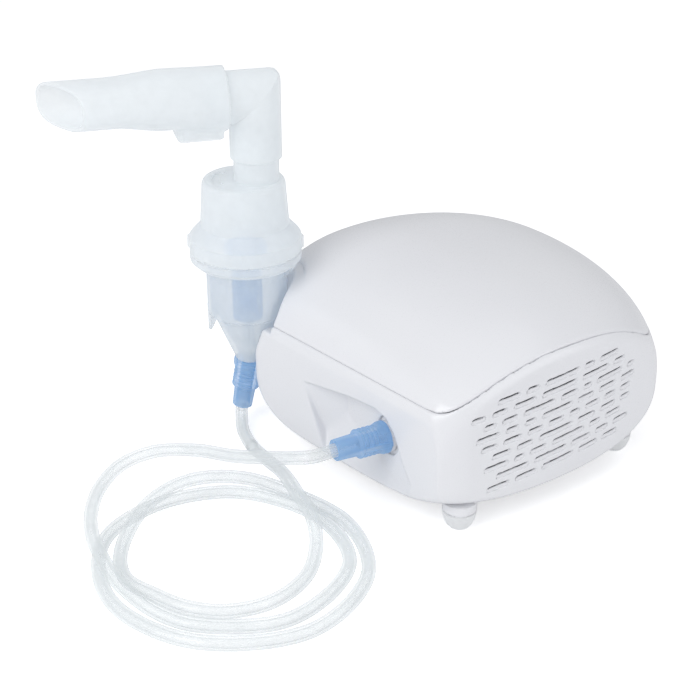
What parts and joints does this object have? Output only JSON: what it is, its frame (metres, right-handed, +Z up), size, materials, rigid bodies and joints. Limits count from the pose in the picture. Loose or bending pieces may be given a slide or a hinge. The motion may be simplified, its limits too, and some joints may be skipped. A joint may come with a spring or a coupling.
{
  "type": "tabletop nebulizer",
  "caption": "Tabletop piston compressor nebulizer in a domed white housing, with a clear air hose, a medicine cup handset, an elbow and a mouthpiece.",
  "frame": {"origin": "on the table, at the middle of the whole object's footprint (housing, hose coil and handset together)", "axes": "+Z up; +X out of the louvred side face; -Y out of the face that holds the air outlet"},
  "size_m": [0.2167, 0.3155, 0.1894],
  "materials": {
    "white_housing": "gloss moulded ABS",
    "grey_plastic": "satin moulding",
    "dark_plastic": "fine satin moulding",
    "foot_plastic": "translucent soft moulding",
    "frosted_plastic": "frosted translucent polypropylene",
    "blue_plastic": "translucent blue moulding",
    "clear_vinyl": "clear soft extrusion",
    "silicone": "milky silicone",
    "steel": "zinc-plated steel",
    "laminations": "stacked lamination sheets",
    "cast_aluminium": "die cast",
    "copper_winding": "lacquered copper wire",
    "black_rubber": "moulded rubber",
    "filter_felt": "white felt",
    "bearing_bronze": "sintered bronze"
  },
  "bodies": {
    "unit": {"base_shell": "white_housing", "top_cover": "white_housing", "outlet_port": "white_housing", "power_inlet": "dark_plastic", "switch_bezel": "dark_plastic", "filter_housing": "grey_plastic", "air_filter": "filter_felt", "chassis": "steel", "stator_stack": "laminations", "motor_coil": "copper_winding", "bearing_bracket_drive": "cast_aluminium", "bearing_drive": "bearing_bronze", "bearing_bracket_fan": "cast_aluminium", "bearing_fan": "bearing_bronze", "cylinder": "cast_aluminium", "valve_plate": "steel", "cylinder_head": "cast_aluminium", "outlet_tube": "clear_vinyl", "intake_tube": "clear_vinyl", "wire_live": "dark_plastic", "wire_neutral": "black_rubber", "hose_connector_port": "blue_plastic", "air_hose": "clear_vinyl", "foot_1": "foot_plastic", "cover_screw_1": "steel", "rubber_mount_1": "black_rubber", "foot_2": "foot_plastic", "cover_screw_2": "steel", "rubber_mount_2": "black_rubber", "foot_3": "foot_plastic", "cover_screw_3": "steel", "rubber_mount_3": "black_rubber", "foot_4": "foot_plastic", "cover_screw_4": "steel", "rubber_mount_4": "black_rubber"},
    "motor": {"shaft": "steel", "rotor": "steel", "cooling_fan": "grey_plastic", "crank": "steel", "rod_bearing": "steel"},
    "piston_rod": {"connecting_rod": "cast_aluminium", "piston_seal": "black_rubber"},
    "switch": {"switch_rocker": "dark_plastic"},
    "filter_door": {"filter_cap": "grey_plastic"},
    "cup": {"medicine_cup": "frosted_plastic", "jet_baffle": "blue_plastic", "hose_connector_cup": "blue_plastic"},
    "cap": {"cup_cap": "frosted_plastic"},
    "inlet_valve": {"inlet_flap": "silicone"},
    "mist_elbow": {"elbow": "frosted_plastic"},
    "mouth": {"mouthpiece": "frosted_plastic"},
    "exhale_valve": {"exhale_flap": "silicone"}
  },
  "joints": [
    {"name": "motor_spin", "type": "hinge", "parent": "unit", "child": "motor", "pos_m": [0.025, 0.0657, 0.044], "axis": [1, 0, 0], "continuous": true},
    {"name": "rod_orbit", "type": "hinge", "parent": "motor", "child": "piston_rod", "pos_m": [0.001, 0.0657, 0.046], "axis": [1, 0, 0], "continuous": true},
    {"name": "switch_rock", "type": "hinge", "parent": "unit", "child": "switch", "pos_m": [-0.009, 0.1437, 0.0345], "axis": [1, 0, 0], "range_deg": [-8, 8]},
    {"name": "filter_pull", "type": "slide", "parent": "unit", "child": "filter_door", "axis": [0, 1, 0], "range_m": [0, 0.03]},
    {"name": "cup_lift", "type": "slide", "parent": "unit", "child": "cup", "axis": [0, 0, 1], "range_m": [0, 0.06]},
    {"name": "cap_twist", "type": "hinge", "parent": "cup", "child": "cap", "pos_m": [-0.055, -0.0113, 0.1], "axis": [0, 0, 1], "range_deg": [0, 30]},
    {"name": "inlet_flap_open", "type": "hinge", "parent": "cap", "child": "inlet_valve", "pos_m": [-0.05988, -0.01699, 0.1312], "axis": [0.759, -0.651, 0], "range_deg": [0, 25]},
    {"name": "elbow_swivel", "type": "hinge", "parent": "cap", "child": "mist_elbow", "pos_m": [-0.05083, -0.00644, 0.15], "axis": [0, 0, 1], "continuous": true},
    {"name": "mouthpiece_swivel", "type": "hinge", "parent": "mist_elbow", "child": "mouth", "pos_m": [-0.05083, -0.00644, 0.174], "axis": [-0.4305, -0.9026, 0], "continuous": true},
    {"name": "exhale_flap_open", "type": "hinge", "parent": "mouth", "child": "exhale_valve", "pos_m": [-0.05876, -0.02305, 0.1574], "axis": [0.9026, -0.4305, 0], "range_deg": [0, 25]}
  ],
  "couplings": [
    {"joint": "rod_orbit", "follows": "motor_spin", "ratio": -1}
  ]
}
